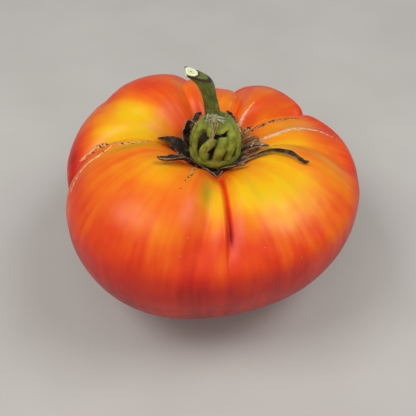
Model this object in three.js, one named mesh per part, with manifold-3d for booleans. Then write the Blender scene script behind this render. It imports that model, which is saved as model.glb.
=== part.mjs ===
// A ribbed beefsteak tomato, picked with its stem, resting on a small flat spot.
//
// The fruit is one solid body of revolution whose shoulders are pinched into unequal lobes by
// creases that run out of the bowl at the top. In the bowl stands the green stem, whose foot has
// swollen into a knob of thick arched ribs, and around that foot lies the dry brown calyx, whose
// shrivelled sepals lie out over the shoulders.
//
// Millimetres, +Z up. The origin is on the resting surface, under the middle of the fruit's
// outline. The side seen from the front faces -Y, and azimuths run anticlockwise from +X.
import * as THREE from "three";
import { mergeVertices } from "three/addons/utils/BufferGeometryUtils.js";
import Module from "manifold-3d";

// Driving dimensions of the fruit.
const HALF_WIDTH = 55.0; // mean radius at the widest level, before the lobes
const HEIGHT = 67.7; // shoulders above the resting surface, before the bowl
const EQUATOR = 42.8; // height of the widest level
const FLAT_DROP = 1.3; // how far the underside has settled into its flat spot
const TOP_ROUND = 0.8; // below 1 gives flat, full shoulders
const BOTTOM_ROUND = 0.95;
const TOP_RISE = 0.89;
const BOTTOM_RISE = 0.98;
const TURN = 30; // degrees each side of the widest level in which the upper curve meets the lower
const BOWL_DEPTH = 19.0;
const BOWL_RADIUS = 17.2;
const SCAR_DEPTH = 1.0; // the blossom scar in the middle of the underside
const SCAR_RADIUS = 5.5;

// Where the stem's axis stands, so that the origin is under the middle of the whole outline.
const AXIS_X = 0.1;
const AXIS_Y = 2.7;

// Each lobe swells out and up around its azimuth; spread is half its width, in degrees.
const LOBES = [
  { name: "front left", azimuth: 234, spread: 36, out: 6.5, up: 3.2 },
  { name: "front right", azimuth: 321, spread: 34, out: 2.3, up: -2.2 },
  { name: "right", azimuth: 30, spread: 22, out: -1.6, up: -8.0 },
  { name: "back right", azimuth: 70, spread: 18, out: -0.4, up: -3.5 },
  { name: "back", azimuth: 89, spread: 12, out: -5.0, up: -4.0 },
  { name: "back left", azimuth: 140, spread: 34, out: 2.1, up: 3.7 },
];

// Each crease leaves the bowl at one azimuth and reaches the widest level at another. It is a broad
// valley, its spread in degrees, with a narrow fold in it, its left and right flanks in mm.
const CREASES = [
  {
    name: "front left", bowl: 271, equator: 263, valley: 2.6, spread: 8,
    fold: 0.5, left: 2.5, right: 2.5, lowest: 0,
  },
  {
    name: "front", bowl: 278, equator: 276, valley: 1.6, spread: 13,
    fold: 3.2, left: 1.4, right: 3.6, lowest: 5,
  },
  {
    name: "right", bowl: 362, equator: 354, valley: 4.4, spread: 12,
    fold: 0.6, left: 2.5, right: 2.5, lowest: 0,
  },
  {
    name: "right back", bowl: 405, equator: 399, valley: 2.0, spread: 12,
    fold: 3.4, left: 2.2, right: 2.2, lowest: -25,
  },
  {
    name: "back", bowl: 428, equator: 440, valley: 3.0, spread: 9,
    fold: 2.8, left: 2.0, right: 2.0, lowest: -25,
  },
  {
    name: "back left", bowl: 473, equator: 456, valley: 1.2, spread: 12,
    fold: 3.0, left: 2.2, right: 2.2, lowest: -20,
  },
  {
    name: "left fold", bowl: 524, equator: 500, valley: 1.0, spread: 10,
    fold: 0.4, left: 3.0, right: 3.0, lowest: 0,
  },
  {
    name: "left", bowl: 539, equator: 554, valley: 2.0, spread: 12,
    fold: 3.4, left: 2.2, right: 2.2, lowest: -35,
  },
];

// Mesh of the fruit: columns between two creases, and rows from the underside to the bowl.
const COLUMN_STEP = 5.2; // degrees
const ROWS_BELOW = 13;
const ROWS_ABOVE = 24;
const BOWL_CLEAR = 89.0; // latitude of the last ring round the bowl's middle

// Driving dimensions of the stem and its ribbed knob.
const FLOOR = HEIGHT - BOWL_DEPTH;
const FOOT_RADIUS = 3.4;
const FOOT_SUNK = 3.0; // how far the foot goes into its socket below the bowl's floor
const FOOT_RISE = 3.4; // where the foot starts to swell into the knob
const GAP = 0.35; // clear of the neighbouring piece
const KNOB_X = 1.2; // the knob leans a little to the right of the foot
const CORE = [
  [5.0, 5.4],
  [5.9, 10.0],
  [5.4, 15.6],
  [3.6, 20.6],
]; // radius and height above the bowl's floor
const CORE_TOP = 22.0;
// Where the middle line of a rib of the usual half thickness lies, from the feet up: distance from
// the knob's axis, and height above the bowl's floor. Thicker ribs lie deeper, thinner ones less.
const RIB_HALF = 2.0;
const RIB_REACH = [
  [5.6, 5.6],
  [7.4, 7.0],
  [8.0, 9.0],
  [7.8, 12.2],
  [6.7, 15.8],
  [4.9, 19.2],
  [2.6, 21.6],
  [1.6, 23.2],
];
// Half thickness, then azimuth and height above the bowl's floor along each rib, from the neck down.
const RIBS = [
  { name: "left arch", half: 1.55, path: [[196, 22.2], [197, 19.5], [202, 15.5], [209, 11.5], [219, 8.6]] },
  { name: "left pad", half: 1.7, path: [[238, 22.8], [244, 20.4], [252, 18.0]] },
  { name: "centre pad", half: 2.7, path: [[282, 23.2], [285, 20.8], [287, 18.5]] },
  { name: "right pad", half: 2.3, path: [[322, 22.8], [320, 21.0], [317, 19.0]] },
  { name: "strut", half: 1.9, path: [[263, 17.5], [253, 15.6], [240, 13.4], [234, 10.8], [242, 8.4]] },
  { name: "strut foot", half: 2.2, path: [[243, 12.2], [240, 9.8], [246, 8.0]] },
  { name: "centre", half: 2.25, path: [[292, 17.5], [287, 15.2], [278, 12.2], [270, 9.4], [267, 8.0]] },
  { name: "right", half: 2.6, path: [[344, 20.6], [333, 17.6], [318, 14.2], [305, 10.8], [298, 8.4]] },
  { name: "right edge", half: 2.4, path: [[374, 21.0], [360, 17.5], [345, 13.5], [334, 10.0], [328, 8.0]] },
  { name: "back right", half: 2.2, path: [[405, 21.3], [393, 17.0], [380, 12.5], [368, 9.0], [364, 8.0]] },
  { name: "back", half: 2.2, path: [[434, 21.4], [426, 17.0], [417, 12.5], [409, 9.0], [406, 8.0]] },
  { name: "back middle", half: 2.2, path: [[464, 21.4], [462, 17.0], [457, 12.5], [453, 9.0], [452, 8.0]] },
  { name: "back left", half: 2.2, path: [[496, 21.4], [496, 17.0], [496, 12.5], [496, 9.0], [497, 8.0]] },
  { name: "left", half: 2.0, path: [[528, 21.4], [530, 17.0], [534, 12.5], [540, 9.0], [544, 8.0]] },
];
const FOOT_RING = { radius: 7.3, height: 7.7, half: 2.1 }; // the swelling that joins the ribs' feet
const STALK = [
  [0.6, 64.5, 3.6],
  [0.6, 69.0, 3.15],
  [0.2, 72.9, 2.75],
  [-0.23, 76.5, 2.6],
  [-0.76, 79.5, 2.48],
  [-1.25, 82.1, 2.54],
  [-1.9, 84.5, 2.7],
  [-3.0, 86.5, 2.5],
  [-4.6, 88.2, 2.2],
  [-6.4, 89.7, 2.05],
  [-8.5, 91.3, 2.0],
  [-10.5, 92.8, 2.0],
]; // x, z and radius along the stalk
// The slanting cut where it was picked, and the torn end beyond it.
const CUT_BLOCK = 24; // side of the block that each cut takes away
const CUTS = [
  { at: new THREE.Vector3(-6.2, 0, 90.25), faces: new THREE.Vector3(0.33, -0.12, 0.94) },
  { at: new THREE.Vector3(-9.0, 0, 90.0), faces: new THREE.Vector3(-0.96, -0.25, 0.1) },
];

// The dry calyx: a thin collar that lines the bowl, and sepals given by stations along their
// middle line: azimuth, latitude, and height above the clearance from the skin's lobes.
const CALYX_THICK = 0.6;
const CALYX_CLEAR = 0.7;
const COLLAR_RINGS = [87, 85.3, 83.6, 82]; // latitudes, the last one its rim
const COLLAR_STEP = 9; // degrees between the collar's columns
// root and width are across, in mm, at the collar and a third of the way out; curl lifts the edges.
const SEPALS = [
  {
    name: "long right", root: 2.8, width: 2.0, curl: 0.5,
    stations: [
      [306, 83.4, -0.3],
      [318, 79.6, 0.1],
      [326.5, 76.6, 0.5],
      [332, 74.0, 0.7],
      [335.8, 71.0, 0.8],
      [337, 67.5, 0.8],
      [336.8, 63.7, 0.7],
      [335.6, 60.2, 0.5],
      [335.0, 57.6, 0.4],
      [336.0, 55.4, 0.7],
    ],
  },
  {
    name: "front right", root: 3.4, width: 2.6, curl: 0.5,
    stations: [[290, 83, 0], [297, 78, 0.4], [305, 75.6, 0.7], [310, 75.2, 1.0]],
  },
  {
    name: "boat left", root: 2.6, width: 3.4, curl: 1.2,
    stations: [
      [250, 83.2, 0.1],
      [243, 80, 0.4],
      [237, 76.8, 0.7],
      [234.3, 73.4, 0.8],
      [233, 70.6, 1.0],
      [229.5, 69.4, 1.4],
      [228.0, 68.8, 2.0],
    ],
  },
  {
    name: "broad left", root: 8.0, width: 6.0, curl: 0.6,
    stations: [
      [180, 84, 0.1],
      [176, 81.2, 0],
      [174.2, 78.6, -0.7],
      [175.0, 76, -1.5],
      [177.0, 74, -2.0],
    ],
  },
  {
    name: "hook", root: 5.0, width: 4.2, curl: 0.8,
    stations: [[151, 83.4, 0.3], [149, 81.2, 0.8], [146, 79.8, 2.4], [142, 79.5, 3.8], [137, 79.8, 4.8]],
  },
  {
    name: "back left", root: 3.4, width: 2.8, curl: 0.6,
    stations: [[130, 83, 0.0], [121, 79.8, 0], [113, 77.8, 0], [105, 76.8, 0]],
  },
  {
    name: "back right", root: 3.6, width: 3.0, curl: 0.6,
    stations: [[52, 83.6, -1.2], [55, 79.4, -0.6], [62, 76.4, 0.2], [72, 74.2, 0.4]],
  },
  {
    name: "right", root: 6.0, width: 4.6, curl: 0.6,
    stations: [[364, 83, -0.7], [356, 80, -0.4], [348.5, 77, 0.3], [343, 72.6, 0.5]],
  },
];
const TIP_SHARE = 0.15; // a sepal's width at its tip

const smooth = (t) => {
  const c = Math.min(Math.max(t, 0), 1);
  return c * c * (3 - 2 * c);
};
const wrap = (degrees) => ((((degrees + 180) % 360) + 360) % 360) - 180;
const rad = THREE.MathUtils.degToRad;

// The azimuth of a crease at a latitude.
const creaseAzimuth = (crease, latitude) =>
  THREE.MathUtils.lerp(crease.equator, crease.bowl, smooth(latitude / 75));

// A point of the fruit's skin. Latitude runs from -90 under the fruit, through 0 at its widest
// level, to 90 in the middle of the bowl. What lies across a crease takes the skin without creases.
function skinPoint(azimuth, latitude, creases = CREASES) {
  const c = Math.abs(Math.cos(rad(latitude)));
  const s = Math.sin(rad(latitude));
  const above = s > 0;
  const upper = smooth((latitude + TURN) / (2 * TURN));
  let r = HALF_WIDTH * c ** THREE.MathUtils.lerp(BOTTOM_ROUND, TOP_ROUND, upper);
  const rise = THREE.MathUtils.lerp(EQUATOR + FLAT_DROP, HEIGHT - EQUATOR, upper);
  let z = EQUATOR + Math.sign(s) * rise * Math.abs(s) ** (above ? TOP_RISE : BOTTOM_RISE);
  for (const lobe of LOBES) {
    const near = Math.exp(-((wrap(azimuth - lobe.azimuth) / lobe.spread) ** 2));
    r += lobe.out * near * smooth(c * 1.6);
    if (above) z += lobe.up * near * smooth(s * 1.3) * smooth(c * 2.2);
  }
  if (above) z -= BOWL_DEPTH * Math.exp(-((r / BOWL_RADIUS) ** 2));
  let inward = 0;
  for (const crease of creases) {
    const away = wrap(azimuth - creaseAzimuth(crease, latitude));
    const across = rad(away) * Math.max(r, 10);
    const flank = across > 0 ? crease.right : crease.left;
    const valley = crease.valley * Math.exp(-((away / crease.spread) ** 2));
    const fold = crease.fold * Math.exp(-((Math.abs(across) / flank) ** 1.3));
    const ends = smooth((latitude - crease.lowest) / 35) * (1 - smooth((latitude - 76) / 11));
    inward += (valley + fold) * ends;
  }
  r = Math.max(r - 0.9 * inward * c, 0);
  z -= inward * s;
  if (!above) z = Math.max(z, 0) + SCAR_DEPTH * (1 - smooth(r / SCAR_RADIUS));
  return new THREE.Vector3(r * Math.cos(rad(azimuth)), r * Math.sin(rad(azimuth)), z);
}

// The point at a height above the skin's lobes, with the outward direction there.
function aboveLobes(azimuth, latitude, height) {
  const at = (turn, climb) => skinPoint(azimuth + turn, latitude + climb, []);
  const normal = at(0.5, 0).sub(at(-0.5, 0)).cross(at(0, 0.5).sub(at(0, -0.5))).normalize();
  return { point: at(0, 0).addScaledVector(normal, height), normal };
}

// Columns of the skin's mesh run along the creases, so that each fold stays sharp. A column is the
// share of the way from one crease to the next.
function skinColumns(step) {
  return CREASES.flatMap((crease, i) => {
    const next = CREASES[(i + 1) % CREASES.length];
    const turn = i + 1 < CREASES.length ? 0 : 360;
    const count = Math.max(2, Math.round((next.equator + turn - crease.equator) / step));
    return Array.from({ length: count }, (_, k) => {
      const crowded = (1 - Math.cos((Math.PI * k) / count)) / 2;
      return { crease, next, turn, share: THREE.MathUtils.lerp(crowded, k / count, 0.4) };
    });
  });
}

function skinRing(columns, latitude, lift = 0) {
  return columns.map(({ crease, next, turn, share }) => {
    const from = creaseAzimuth(crease, latitude);
    const to = creaseAzimuth(next, latitude) + turn;
    const point = skinPoint(THREE.MathUtils.lerp(from, to, share), latitude);
    point.z += lift;
    return point;
  });
}

// A closed mesh from rings of points, each ring turning the same way, with a point at each end.
function loft(rings, first, last) {
  const sides = rings[0].length;
  const points = [first, ...rings.flat(), last];
  const faces = [];
  const at = (row, column) => 1 + row * sides + (column % sides);
  for (let column = 0; column < sides; column++) {
    faces.push(0, at(0, column + 1), at(0, column));
    for (let row = 0; row + 1 < rings.length; row++) {
      faces.push(at(row, column), at(row, column + 1), at(row + 1, column + 1));
      faces.push(at(row, column), at(row + 1, column + 1), at(row + 1, column));
    }
    faces.push(points.length - 1, at(rings.length - 1, column), at(rings.length - 1, column + 1));
  }
  const geometry = new THREE.BufferGeometry().setFromPoints(points);
  geometry.setIndex(faces);
  return geometry;
}

// A closed band: rings of points, the last one joined to the first.
function band(rings) {
  const sides = rings[0].length;
  const at = (row, column) => (row % rings.length) * sides + (column % sides);
  const faces = [];
  for (let row = 0; row < rings.length; row++)
    for (let column = 0; column < sides; column++) {
      faces.push(at(row, column), at(row, column + 1), at(row + 1, column + 1));
      faces.push(at(row, column), at(row + 1, column + 1), at(row + 1, column));
    }
  const geometry = new THREE.BufferGeometry().setFromPoints(rings.flat());
  geometry.setIndex(faces);
  return geometry;
}

// Booleans.
const wasm = await Module();
wasm.setup();

function toSolid(geometry) {
  const bare = geometry.clone();
  bare.deleteAttribute("normal");
  bare.deleteAttribute("uv");
  const merged = mergeVertices(bare, 1e-4);
  return new wasm.Manifold(
    new wasm.Mesh({
      numProp: 3,
      vertProperties: new Float32Array(merged.attributes.position.array),
      triVerts: new Uint32Array(merged.index.array),
    }),
  );
}

function toGeometry(solid) {
  const mesh = solid.getMesh();
  const geometry = new THREE.BufferGeometry();
  geometry.setAttribute("position", new THREE.BufferAttribute(mesh.vertProperties, 3));
  geometry.setIndex(new THREE.BufferAttribute(mesh.triVerts, 1));
  geometry.computeVertexNormals();
  return geometry;
}

const fuse = (geometries) => geometries.map(toSolid).reduce((a, b) => a.add(b));

// The fruit, with a socket in the bowl for the stem's foot.
function makeFruit() {
  const columns = skinColumns(COLUMN_STEP);
  const latitudes = [];
  for (let k = 1; k <= ROWS_BELOW; k++) latitudes.push(-90 + (90 * k) / (ROWS_BELOW + 1));
  for (let k = 0; k <= ROWS_ABOVE; k++) latitudes.push((BOWL_CLEAR * k) / ROWS_ABOVE);
  const rings = latitudes.map((latitude) => skinRing(columns, latitude));
  const body = toSolid(loft(rings, skinPoint(0, -90), skinPoint(0, 90)));
  const wall = FOOT_RADIUS + GAP;
  const socket = new THREE.CylinderGeometry(wall, wall, 2 * (FOOT_SUNK + GAP), 24)
    .rotateX(Math.PI / 2)
    .translate(0, 0, FLOOR);
  return toGeometry(body.subtract(toSolid(socket)));
}

// A round tube along a curve, its radius a function of the share of the way along.
function tube(curve, radiusAt, sides, steps) {
  const frames = curve.computeFrenetFrames(steps, false);
  const rings = [];
  for (let k = 0; k <= steps; k++) {
    const centre = curve.getPointAt(k / steps);
    rings.push(
      Array.from({ length: sides }, (_, i) => {
        const angle = (2 * Math.PI * i) / sides;
        return centre
          .clone()
          .addScaledVector(frames.normals[k], radiusAt(k / steps) * Math.cos(angle))
          .addScaledVector(frames.binormals[k], radiusAt(k / steps) * Math.sin(angle));
      }),
    );
  }
  return loft(rings, curve.getPointAt(0), curve.getPointAt(1));
}

// One rib of the knob: it leaves the neck, arches out over the bowl and tucks in at the foot.
function rib({ half, path }) {
  const reach = (height) => {
    const above = RIB_REACH.findIndex((station) => station[1] >= height);
    const [[r0, h0], [r1, h1]] = RIB_REACH.slice(above - 1, above + 1);
    return THREE.MathUtils.mapLinear(height, h0, h1, r0, r1) + RIB_HALF - half;
  };
  const stations = path.map(([azimuth, height]) => new THREE.Vector3(azimuth, height, 0));
  const chart = new THREE.CatmullRomCurve3(stations);
  const steps = 2 * path.length;
  const points = chart.getPoints(steps).map(({ x, y }) => {
    const r = reach(y);
    return new THREE.Vector3(KNOB_X + r * Math.cos(rad(x)), r * Math.sin(rad(x)), FLOOR + y);
  });
  const swell = (t) => half * (0.8 + 0.2 * Math.sin(Math.PI * Math.min(1, 1.3 * t)));
  return tube(new THREE.CatmullRomCurve3(points), swell, 8, steps);
}

function stalk() {
  const line = new THREE.CatmullRomCurve3(STALK.map(([x, z]) => new THREE.Vector3(x, 0, z)));
  const girth = new THREE.CatmullRomCurve3(STALK.map(([, , radius]) => new THREE.Vector3(radius, 0, 0)));
  return tube(line, (t) => girth.getPoint(line.getUtoTmapping(t)).x, 14, 24);
}

// A block that covers everything beyond a plane.
function beyond({ at, faces }) {
  const up = new THREE.Vector3(0, 0, 1);
  const turn = new THREE.Quaternion().setFromUnitVectors(up, faces.clone().normalize());
  return new THREE.BoxGeometry(CUT_BLOCK, CUT_BLOCK, CUT_BLOCK)
    .translate(0, 0, CUT_BLOCK / 2)
    .applyQuaternion(turn)
    .translate(...at);
}

function makeStem() {
  const profile = [
    [0, FLOOR - FOOT_SUNK],
    [FOOT_RADIUS, FLOOR - FOOT_SUNK],
    [FOOT_RADIUS, FLOOR + FOOT_RISE],
    ...CORE.map(([r, height]) => [r, FLOOR + height]),
    [0, FLOOR + CORE_TOP],
  ];
  const points = profile.map(([r, z]) => new THREE.Vector2(r, z));
  const core = new THREE.LatheGeometry(points, 18).rotateX(Math.PI / 2);
  const ring = new THREE.TorusGeometry(FOOT_RING.radius, FOOT_RING.half, 10, 30)
    .translate(KNOB_X, 0, FLOOR + FOOT_RING.height);
  const whole = fuse([core, ring, stalk(), ...RIBS.map(rib)]);
  return toGeometry(CUTS.map(beyond).map(toSolid).reduce((left, block) => left.subtract(block), whole));
}

// The collar of the calyx: a thin ring that lines the bowl and dips into its creases.
function collar() {
  const columns = skinColumns(COLLAR_STEP);
  const hole = (lift) =>
    skinRing(columns, COLLAR_RINGS[0]).map((point) => {
      const level = skinPoint(0, COLLAR_RINGS[0]).z + lift;
      return point.setZ(0).setLength(FOOT_RADIUS + GAP).setZ(level);
    });
  const lining = (lift) => COLLAR_RINGS.map((latitude) => skinRing(columns, latitude, lift));
  const under = CALYX_CLEAR;
  const over = CALYX_CLEAR + CALYX_THICK;
  return band([hole(under), ...lining(under), ...lining(over).reverse(), hole(over)]);
}

// One sepal: a thin blade along its stations that narrows to its tip, with raised edges.
function sepal({ root, width, curl, stations }) {
  const steps = 3 * (stations.length - 1);
  const curve = (place) => new THREE.CatmullRomCurve3(stations.map(place));
  const middle = curve(([azimuth, latitude, height]) =>
    aboveLobes(azimuth, latitude, CALYX_CLEAR + height).point,
  );
  const chart = curve(([azimuth, latitude]) => new THREE.Vector3(azimuth, latitude, 0));
  const across = [-1, -0.5, 0, 0.5, 1];
  const rings = [];
  for (let k = 0; k <= steps; k++) {
    const t = k / steps;
    const where = chart.getPoint(t);
    const { normal } = aboveLobes(where.x, where.y, 0);
    const centre = middle.getPoint(t);
    const side = normal.clone().cross(middle.getTangent(t)).normalize();
    const taper = THREE.MathUtils.lerp(1, TIP_SHARE, smooth(1.5 * t - 0.5));
    const wide = THREE.MathUtils.lerp(root, width, Math.min(1, 3 * t)) * taper;
    const edge = (share, lift) =>
      centre
        .clone()
        .addScaledVector(side, (share * wide) / 2)
        .addScaledVector(normal, curl * share * share * Math.min(1, 3 * t) + lift);
    const back = across.map((share) => edge(share, 0));
    const front = across.map((share) => edge(-share, CALYX_THICK));
    rings.push([...back, ...front]);
  }
  const cap = (ring) => ring.reduce((a, b) => a.clone().add(b)).divideScalar(ring.length);
  return loft(rings, cap(rings[0]), cap(rings[rings.length - 1]));
}

function makeCalyx() {
  return toGeometry(fuse([collar(), ...SEPALS.map(sepal)]));
}

function part(name, geometry, finish) {
  const mesh = new THREE.Mesh(geometry, new THREE.MeshStandardMaterial(finish));
  mesh.name = name;
  return mesh;
}

const tomato = new THREE.Group();
tomato.position.set(AXIS_X, AXIS_Y, 0);
tomato.add(
  part("fruit", makeFruit(), { color: "#e2521b", roughness: 0.35, metalness: 0 }),
  part("stem", makeStem(), { color: "#6f8a2c", roughness: 0.6, metalness: 0 }),
  part("calyx", makeCalyx(), { color: "#40362b", roughness: 0.9, metalness: 0 }),
);

export default tomato;
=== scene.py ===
# %% [markdown]
# # A ribbed beefsteak tomato
#
# The object is a large ribbed tomato that was picked with its stem. It is dressed here in six
# steps: the skin of the fruit, the green stem with its ribbed knob, the dry calyx around it, the
# fine hairs and dried scraps, the finishes, and last the floor, the lights and the camera. The solid
# model comes in first, because each piece is placed in its frame.

# %% Load the frame
import bpy
import math
import numpy as np
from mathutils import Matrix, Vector


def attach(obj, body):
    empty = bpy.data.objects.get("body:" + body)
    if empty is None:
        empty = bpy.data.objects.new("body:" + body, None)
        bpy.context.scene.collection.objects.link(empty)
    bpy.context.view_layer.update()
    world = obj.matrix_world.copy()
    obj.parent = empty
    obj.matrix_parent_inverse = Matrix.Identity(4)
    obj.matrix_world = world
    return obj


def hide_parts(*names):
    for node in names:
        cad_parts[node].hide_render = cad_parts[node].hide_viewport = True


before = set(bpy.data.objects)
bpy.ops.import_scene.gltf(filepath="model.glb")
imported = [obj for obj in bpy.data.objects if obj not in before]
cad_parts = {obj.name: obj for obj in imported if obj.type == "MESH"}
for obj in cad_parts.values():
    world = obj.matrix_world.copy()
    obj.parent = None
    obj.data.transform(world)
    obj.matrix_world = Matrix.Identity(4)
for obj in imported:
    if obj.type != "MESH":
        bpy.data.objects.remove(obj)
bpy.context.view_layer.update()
bpy.ops.object.select_all(action="DESELECT")
MM = 0.001

# %% [markdown]
# ## Small helpers
#
# Lengths below are millimetres and angles are degrees, about the stem's axis. Azimuths run
# anticlockwise from the right-hand side, so the side that faces the camera is at 270. Latitude
# runs from -90 under the fruit, through 0 at its widest level, to 90 in the middle of the bowl.
# Points are held in mm from the foot of the stem's axis, and one helper puts them in the frame.

# %% Helpers for numbers
AXIS = np.array([0.1, 2.7, 0.0])  # where the stem's axis stands in the frame


def smooth(t):
    t = np.clip(t, 0.0, 1.0)
    return t * t * (3.0 - 2.0 * t)


def wrap(degrees):
    return (degrees + 180.0) % 360.0 - 180.0


def lerp(a, b, t):
    return a + (b - a) * t


def band(values, start, rise, end, fall):
    """1 between a soft start and a soft end, with flanks of these lengths, and 0 outside them."""
    return smooth((values - start) / rise) * (1 - smooth((values - end) / fall))


def unit(vectors):
    return vectors / (np.linalg.norm(vectors, axis=-1, keepdims=True) + 1e-12)


def waves(points, length, seed, count=6):
    """Soft unevenness from -1 to 1 with humps about so many mm long."""
    dice = np.random.default_rng(seed)
    total = np.zeros(points.shape[:-1])
    for _ in range(count):
        way = unit(dice.normal(size=3)) * 2 * math.pi / (length * dice.uniform(0.7, 1.5))
        total += np.sin(points @ way + dice.uniform(0, 2 * math.pi))
    return total / count


def rounded_line(stations, count):
    """Points along a smooth curve through the stations, evenly in the stations' own measure."""
    knots = np.array(stations, float)
    knots = np.vstack([2 * knots[0] - knots[1], knots, 2 * knots[-1] - knots[-2]])
    t = np.linspace(0, len(stations) - 1 - 1e-9, count)
    i = t.astype(int)
    u = (t - i)[:, None]
    a, b, c, d = knots[i], knots[i + 1], knots[i + 2], knots[i + 3]
    bend = 2 * a - 5 * b + 4 * c - d
    swing = 3 * b - a - 3 * c + d
    return 0.5 * (2 * b + (c - a) * u + bend * u**2 + swing * u**3)


# %% Helpers for meshes
def mesh_points(piece):
    flat = np.empty(len(piece.data.vertices) * 3)
    piece.data.vertices.foreach_get("co", flat)
    return flat.reshape(-1, 3)


def in_frame(points):
    return (points + AXIS) * MM


def move_points(piece, points):
    piece.data.vertices.foreach_set("co", in_frame(points).ravel())
    piece.data.update()


def mesh_normals(piece):
    flat = np.empty(len(piece.data.vertices) * 3)
    piece.data.vertices.foreach_get("normal", flat)
    return flat.reshape(-1, 3)


def write_field(piece, name, values):
    """A number, or three, at each point of the mesh, which a material can read by this name."""
    values = np.ascontiguousarray(values, np.float32)
    kind, key = ("FLOAT", "value") if values.ndim == 1 else ("FLOAT_VECTOR", "vector")
    field = piece.data.attributes.new(name, kind, "POINT")
    field.data.foreach_set(key, values.ravel())


def take_new(name):
    """The piece that an operator has just added, named."""
    piece = bpy.context.object
    piece.name = name
    piece.data.name = name
    return piece


def only(piece):
    bpy.ops.object.select_all(action="DESELECT")
    piece.select_set(True)
    bpy.context.view_layer.objects.active = piece


def apply_modifier(piece, kind, **settings):
    only(piece)
    modifier = piece.modifiers.new(kind.title(), kind)
    for key, value in settings.items():
        setattr(modifier, key, value)
    bpy.ops.object.modifier_apply(modifier=modifier.name)


def smooth_shading(piece):
    only(piece)
    bpy.ops.object.shade_smooth()


# %% [markdown]
# ## The form of the fruit
#
# The real fruit swelled unevenly, so its shoulders stand in unequal lobes with creases between
# them, and the creases run out of a deep bowl round the stem. It could be sculpted by hand, but
# the same few lobes and creases that drive the solid model drive this formula too, so that the
# dressed fruit and the solid one are the same body.

# %% The fruit's measures
HALF_WIDTH = 55.0
HEIGHT = 67.7
EQUATOR = 42.8
FLAT_DROP = 1.3
TOP_ROUND, BOTTOM_ROUND = 0.8, 0.95
TOP_RISE, BOTTOM_RISE = 0.89, 0.98
TURN = 30.0
BOWL_DEPTH, BOWL_RADIUS = 19.0, 17.2
SCAR_DEPTH, SCAR_RADIUS = 1.0, 5.5
FLOOR = HEIGHT - BOWL_DEPTH  # the height of the bowl's floor
INNER_RADIUS = 10  # nearer the axis than this, a degree of azimuth is taken to be as long as here
CREASE_GROWTH = 35  # degrees of latitude over which a crease deepens
CREASE_END, CREASE_FADE = 76, 11  # where it starts to die out in the bowl, and over how much
FLANK_POWER = 1.3  # 1 makes a fold's flanks pointed, 2 makes them round
FOLD_INWARD = 0.9  # share of a crease's depth that goes towards the axis

# Azimuth, spread, how far out and how far up each lobe swells.
LOBES = {
    "front left": (234, 36, 6.5, 3.2),
    "front right": (321, 34, 2.3, -2.2),
    "right": (30, 22, -1.6, -8.0),
    "back right": (70, 18, -0.4, -3.5),
    "back": (89, 12, -5.0, -4.0),
    "back left": (140, 34, 2.1, 3.7),
}

# Azimuth at the bowl and at the widest level, depth and spread of the valley, depth of the fold
# in it, its left and right flanks, and the latitude where it has died out.
CREASES = {
    "front left": (271, 263, 2.6, 8, 0.5, 2.5, 2.5, 0),
    "front": (278, 276, 1.6, 13, 3.2, 1.4, 3.6, 5),
    "right": (362, 354, 4.4, 12, 0.6, 2.5, 2.5, 0),
    "right back": (405, 399, 2.0, 12, 3.4, 2.2, 2.2, -25),
    "back": (428, 440, 3.0, 9, 2.8, 2.0, 2.0, -25),
    "back left": (473, 456, 1.2, 12, 3.0, 2.2, 2.2, -20),
    "left fold": (524, 500, 1.0, 10, 0.4, 3.0, 3.0, 0),
    "left": (539, 554, 2.0, 12, 3.4, 2.2, 2.2, -35),
}
print("lobes:", len(LOBES), "creases:", len(CREASES))


# %% The skin's formula
def crease_azimuth(crease, latitude):
    bowl, equator = crease[:2]
    return lerp(equator, bowl, smooth(latitude / 75))


def across_crease(crease, azimuth, latitude, r):
    return np.radians(wrap(azimuth - crease_azimuth(crease, latitude))) * np.maximum(r, INNER_RADIUS)


def skin_point(azimuth, latitude, creased=True):
    azimuth, latitude = np.broadcast_arrays(np.asarray(azimuth, float), np.asarray(latitude, float))
    c = np.abs(np.cos(np.radians(latitude)))
    s = np.sin(np.radians(latitude))
    above = s > 0
    upper = smooth((latitude + TURN) / (2 * TURN))
    r = HALF_WIDTH * c ** lerp(BOTTOM_ROUND, TOP_ROUND, upper)
    rise = lerp(EQUATOR + FLAT_DROP, HEIGHT - EQUATOR, upper)
    z = EQUATOR + np.sign(s) * rise * np.abs(s) ** np.where(above, TOP_RISE, BOTTOM_RISE)
    for place, spread, out, up in LOBES.values():
        near = np.exp(-((wrap(azimuth - place) / spread) ** 2))
        r = r + out * near * smooth(c * 1.6)
        z = z + np.where(above, up * near * smooth(s * 1.3) * smooth(c * 2.2), 0)
    z = z - np.where(above, BOWL_DEPTH * np.exp(-((r / BOWL_RADIUS) ** 2)), 0)
    inward = np.zeros_like(r)
    for crease in CREASES.values() if creased else ():
        valley, spread, fold, left, right, lowest = crease[2:]
        across = across_crease(crease, azimuth, latitude, r)
        away = wrap(azimuth - crease_azimuth(crease, latitude))
        flank = np.where(across > 0, right, left)
        shape = valley * np.exp(-((away / spread) ** 2))
        shape = shape + fold * np.exp(-((np.abs(across) / flank) ** FLANK_POWER))
        inward += shape * band(latitude, lowest, CREASE_GROWTH, CREASE_END, CREASE_FADE)
    r = np.maximum(r - FOLD_INWARD * inward * c, 0)
    z = z - inward * s
    z = np.where(above, z, np.maximum(z, 0) + SCAR_DEPTH * (1 - smooth(r / SCAR_RADIUS)))
    turn = np.radians(azimuth)
    return np.stack([r * np.cos(turn), r * np.sin(turn), z], -1)


def skin_normal(azimuth, latitude, creased=True):
    east = skin_point(azimuth + 0.5, latitude, creased) - skin_point(azimuth - 0.5, latitude, creased)
    north = skin_point(azimuth, latitude + 0.5, creased) - skin_point(azimuth, latitude - 0.5, creased)
    return unit(np.cross(east, north))


print("height of the front shoulder, mm:", skin_point(234, np.arange(0, 90))[:, 2].max().round(1))

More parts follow.
